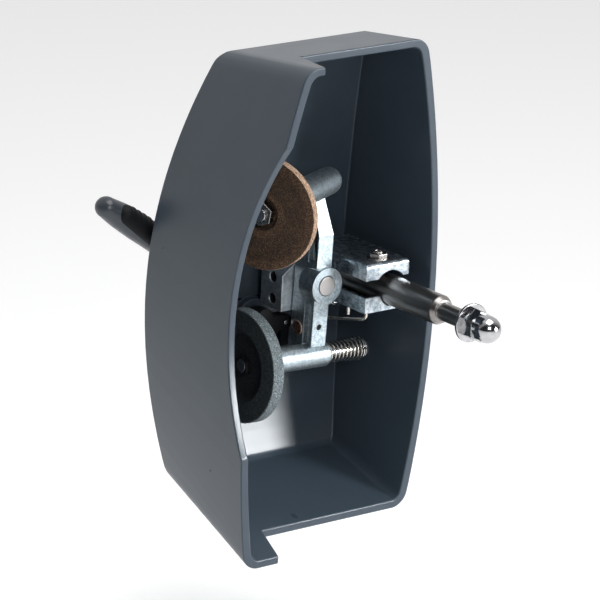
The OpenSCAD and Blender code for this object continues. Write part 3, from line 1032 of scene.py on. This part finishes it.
@dataclass
class Lever:
    """The rear lever, its shaft and the crank inside the cover."""

    bench: Bench
    slope_deg: float = 36.0
    route: tuple[Station, ...] = (
        Station(-49.6, 73.2, -13.0, 5.6, 5.0),
        Station(-57.0, 73.5, -5.5, 5.6, 5.5),
        Station(-64.0, 74.0, 2.0, 5.6, 6.0),
        Station(-75.5, 75.3, 11.4, 5.7, 6.6),
        Station(-87.0, 77.0, 20.4, 6.2, 6.9),
        Station(-95.0, 78.6, 26.4, 6.5, 6.7),
        Station(-103.0, 80.3, 32.2, 6.2, 6.2),
        Station(-109.5, 81.7, 36.6, 5.1, 5.4),
    )
    between: int = 4
    around: int = 40
    tip_long: float = 4.6
    tip_lean: float = 0.15
    tip_steps: int = 8
    tip_step_deg: float = 11.0
    grip_from: float = 1.2
    grip_to: float = 6.6
    grip_lift: float = 1.5
    grip_front: float = 3.2
    grip_less: float = 1.6
    grip_shallow: float = 1.5
    grip_steps: int = 100
    close_from: float = 0.9
    close_over: float = 0.1
    close_least: float = 0.02
    ribs: int = 4
    rib_pitch: float = 3.1
    rib_high: float = 0.75
    rib_start: float = 1.6
    rib_reach: float = 7.0
    rib_level: float = 0.55
    parts: tuple[Part, ...] = (
        Part("lever_shaft", BLACKED, 0.3),
        Part("crank", GRIP, 0.5),
        Part("crank_pin", BRIGHT, 0.2),
        Part("lever_hub", LEVER, 0.6, 3),
        Part("hub_screw", BLACKED, 0.15),
    )

    def build(self) -> None:
        """Makes the lever's pieces."""
        self.bench.rounded_all(self.parts)
        self._handle()
        self._grip()

    def _up(self) -> Vector:
        """Across the lever, towards its upper edge."""
        slope = math.radians(self.slope_deg)
        return Vector((math.sin(slope), 0.0, math.cos(slope)))

    def _back(self) -> Vector:
        """Along the lever, from its tip towards its hub."""
        slope = math.radians(self.slope_deg)
        return Vector((math.cos(slope), 0.0, -math.sin(slope)))

    def _section(self, at: float) -> Station:
        """The section at a place along the route, counted in stations."""
        i = max(0, min(int(at), len(self.route) - 2))
        return self.route[i].towards(self.route[i + 1], at - i)

    def _frame(self, centre: Vector, high: float, deep: float) -> Matrix:
        """The matrix that puts a unit circle in the lever's section plane.

        Args:
            centre: The section's centre.
            high: Half its height.
            deep: Half its depth.

        Returns:
            The matrix.
        """
        up = self._up()
        depth = Vector((0.0, 1.0, 0.0))
        along = up.cross(depth)
        turn = Matrix((up * high, depth * deep, along)).transposed()
        return Matrix.Translation(centre) @ turn.to_4x4()

    def _loft(self, frames: Sequence[Matrix]) -> bmesh.types.BMesh:
        """Bridges circles into a closed skin.

        Args:
            frames: Each section's matrix, first to last.

        Returns:
            The new mesh.
        """
        shape = bmesh.new()
        rings = []
        for i, frame in enumerate(frames):
            ends = i in (0, len(frames) - 1)
            made = bmesh.ops.create_circle(shape, cap_ends=ends, cap_tris=False,
                                           segments=self.around, radius=1.0, matrix=frame)
            rings.append(list({e for v in made["verts"] for e in v.link_edges}))
        for a, b in zip(rings, rings[1:]):
            bmesh.ops.bridge_loops(shape, edges=a + b)
        bmesh.ops.recalc_face_normals(shape, faces=shape.faces)
        return shape

    def _handle(self) -> None:
        """The grey lever with its round tip."""
        frames = []
        last = len(self.route) - 1
        for i in range(self.between * last + 1):
            s = self._section(i / self.between)
            frames.append(self._frame(Vector((s.x, s.y, s.z)), s.high, s.deep))
        end = self.route[-1]
        slope = math.radians(self.slope_deg)
        for i in range(1, self.tip_steps + 1):
            a = math.radians(i * self.tip_step_deg)
            out = self.tip_long * math.sin(a)
            centre = Vector((end.x - out * math.cos(slope), end.y + out * self.tip_lean,
                             end.z + out * math.sin(slope)))
            frames.append(self._frame(centre, end.high * math.cos(a), end.deep * math.cos(a)))
        self.bench.piece("lever_handle_piece", self._loft(frames), [LEVER], "lever",
                         ["lever_handle"])

    def _grip(self) -> None:
        """The black grip on the lever's front, with ribs along its upper edge."""
        up, back = self._up(), self._back()
        frames = []
        for i in range(self.grip_steps + 1):
            t = i / self.grip_steps
            s = self._section(self.grip_from + (self.grip_to - self.grip_from) * t)
            past = max((t - self.close_from) / self.close_over, 0.0)
            close = math.sqrt(max(1.0 - past ** 2, self.close_least))
            centre = Vector((s.x, s.y - self.grip_front, s.z)) + up * (self.grip_lift * t)
            less = self.grip_less * t
            frames.append(self._frame(centre, (s.high - less) * close,
                                      (s.deep - self.grip_shallow) * close))
        shape = self._loft(frames)
        self._ribs(shape, up, back)
        self.bench.piece("lever_grip_piece", shape, [GRIP], "lever", ["lever_grip"], even=False)

    def _ribs(self, shape: bmesh.types.BMesh, up: Vector, back: Vector) -> None:
        """Raises ribs on the grip's upper side, near its far end.

        Args:
            shape: The grip's mesh.
            up: Across the lever, towards its upper edge.
            back: Along the lever, from its tip towards its hub.
        """
        far = self._section(self.grip_to)
        start = Vector((far.x, far.y, far.z))
        for vert in shape.verts:
            run = (vert.co - start).dot(back)
            s = run / self.rib_pitch - self.rib_start
            if not 0.0 < s < self.ribs:
                continue
            centre = start + back * run
            lift = (vert.co - centre).dot(up) / self.rib_reach
            wave = abs(math.sin(math.pi * s))
            vert.co += up * (self.rib_high * (wave - self.rib_level) * max(lift, 0.0))


# ------------------------------------------------------------------ studio


@dataclass(frozen=True)
class Softbox:
    """A rectangular studio light aimed at a point."""

    name: str
    azimuth_deg: float
    elevation_deg: float
    distance_m: float
    width_m: float
    height_m: float
    watts: float
    tint: Colour = (1.0, 1.0, 1.0)
    spread_deg: float = 180.0

    def build(self, target: Vector) -> None:
        """Hangs the light.

        Args:
            target: The point that it faces.
        """
        light = bpy.data.lights.new(self.name, "AREA")
        light.shape = "RECTANGLE"
        light.size, light.size_y = self.width_m, self.height_m
        light.energy = self.watts
        light.color = self.tint
        light.spread = math.radians(self.spread_deg)
        back = direction(self.azimuth_deg, self.elevation_deg)
        lamp = bpy.data.objects.new(self.name, light)
        lamp.location = target + back * self.distance_m
        lamp.rotation_mode = "QUATERNION"
        lamp.rotation_quaternion = (-back).to_track_quat("-Z", "Y")
        bpy.context.scene.collection.objects.link(lamp)


def direction(azimuth_deg: float, elevation_deg: float) -> Vector:
    """The direction from the object to a camera or light.

    Args:
        azimuth_deg: 0 is in front, along -Y, and 90 is at +X.
        elevation_deg: Angle above the horizon.

    Returns:
        A unit vector.
    """
    a, e = math.radians(azimuth_deg), math.radians(elevation_deg)
    return Vector((math.sin(a) * math.cos(e), -math.cos(a) * math.cos(e), math.sin(e)))


@dataclass
class Studio:
    """Camera, lights, pale floor and world."""

    azimuth_deg: float = -39.83
    elevation_deg: float = 17.278
    roll_deg: float = 2.919
    distance_m: float = 2.05098
    lens_mm: float = 270.72
    sensor_mm: float = 36.0
    offset_x: float = 0.17445
    offset_y: float = -0.00793
    clip_m: tuple[float, float] = (0.1, 50.0)
    floor_drop_m: float = 0.06
    floor_half_m: float = 20.0
    floor_shade: float = 0.86
    floor_roughness: float = 0.9
    floor_glow: float = 0.2
    room_towards: Point = (0.25, 0.75, 0.6)
    room_dark: Colour = (0.03, 0.033, 0.037)
    room_white_from: float = 0.62
    room_strength: float = 0.8
    lights: list[Softbox] = field(default_factory=lambda: [
        Softbox("overhead", 20.0, 74.0, 1.3, 1.1, 0.9, 13.0),
        Softbox("right_front", 37.5, 8.0, 1.4, 0.32, 0.42, 1.35, (0.96, 0.98, 1.0), 40.0),
        Softbox("front_left", -20.0, 26.0, 1.5, 0.5, 0.5, 6.0),
    ])

    def build(self, low: Vector, high: Vector) -> None:
        """Sets the stage.

        Args:
            low: Lowest corner of the object.
            high: Highest corner of the object.
        """
        self._camera()
        centre = (low + high) / 2
        for light in self.lights:
            light.build(centre)
        self._floor(low.z - self.floor_drop_m)
        self._world()
        bpy.context.scene.view_settings.view_transform = "Standard"

    def _camera(self) -> None:
        """Places the camera and turns it so that the object sits where it should in the frame."""
        back = direction(self.azimuth_deg, self.elevation_deg)
        right = (-back).cross(Vector((0, 0, 1))).normalized()
        up = right.cross(-back)
        roll = math.radians(self.roll_deg)
        right, up = (right * math.cos(roll) + up * math.sin(roll),
                     up * math.cos(roll) - right * math.sin(roll))
        width = self.sensor_mm / self.lens_mm
        aim = (-back - right * self.offset_x * width + up * self.offset_y * width).normalized()
        right = (right - aim * right.dot(aim)).normalized()
        up = right.cross(aim)
        data = bpy.data.cameras.new("camera")
        data.lens, data.sensor_width = self.lens_mm, self.sensor_mm
        data.clip_start, data.clip_end = self.clip_m
        camera = bpy.data.objects.new("camera", data)
        turn = Matrix((right, up, -aim)).transposed()
        camera.matrix_world = Matrix.Translation(back * self.distance_m) @ turn.to_4x4()
        bpy.context.scene.collection.objects.link(camera)
        bpy.context.scene.camera = camera

    def _floor(self, height: float) -> None:
        """Lays a pale floor.

        Args:
            height: Its height in metres.
        """
        shape = bmesh.new()
        bmesh.ops.create_grid(shape, x_segments=1, y_segments=1, size=self.floor_half_m)
        bmesh.ops.translate(shape, vec=(0, 0, height), verts=shape.verts)
        mesh = bpy.data.meshes.new("floor")
        shape.to_mesh(mesh)
        shape.free()
        bench = NodeBench("pale_floor")
        bench.shader.inputs["Base Color"].default_value = (*(self.floor_shade,) * 3, 1.0)
        bench.shader.inputs["Roughness"].default_value = self.floor_roughness
        bench.shader.inputs["Emission Color"].default_value = (1.0, 1.0, 1.0, 1.0)
        bench.shader.inputs["Emission Strength"].default_value = self.floor_glow
        mesh.materials.append(bench.material)
        floor = bpy.data.objects.new("floor", mesh)
        bpy.context.scene.collection.objects.link(floor)
        floor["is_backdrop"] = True

    def _world(self) -> None:
        """Fills the room with soft light, brighter above and behind than in front."""
        world = bpy.data.worlds.new("room")
        bpy.context.scene.world = world
        world.use_nodes = True
        tree = world.node_tree
        place = tree.nodes.new("ShaderNodeTexCoord")
        across = tree.nodes.new("ShaderNodeVectorMath")
        across.operation = "DOT_PRODUCT"
        across.inputs[1].default_value = self.room_towards
        ramp = tree.nodes.new("ShaderNodeValToRGB")
        ramp.color_ramp.elements[0].position = 0.0
        ramp.color_ramp.elements[0].color = (*self.room_dark, 1.0)
        ramp.color_ramp.elements[1].position = self.room_white_from
        ramp.color_ramp.elements[1].color = (1.0, 1.0, 1.0, 1.0)
        tree.links.new(place.outputs["Generated"], across.inputs[0])
        tree.links.new(across.outputs["Value"], ramp.inputs["Fac"])
        background = tree.nodes["Background"]
        tree.links.new(ramp.outputs["Color"], background.inputs["Color"])
        background.inputs["Strength"].default_value = self.room_strength


def main() -> None:
    """Builds the sub-assemblies in order and sets the stage."""
    logging.basicConfig(level=logging.INFO, format="%(name)s: %(message)s")
    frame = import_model()
    cad_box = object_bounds()
    bench = Bench(frame)
    for assembly in (
        Cover(bench),
        Clamp(bench),
        Post(bench),
        Rocker(bench),
        GrindingWheel(bench, joint_axle(frame, "grinding_spin")),
        HoningWheel(bench, joint_axle(frame, "honing_spin")),
        Lever(bench),
    ):
        log.info("%s", type(assembly).__name__)
        assembly.build()
    Studio().build(*cad_box)


if __name__ == "__main__":
    main()
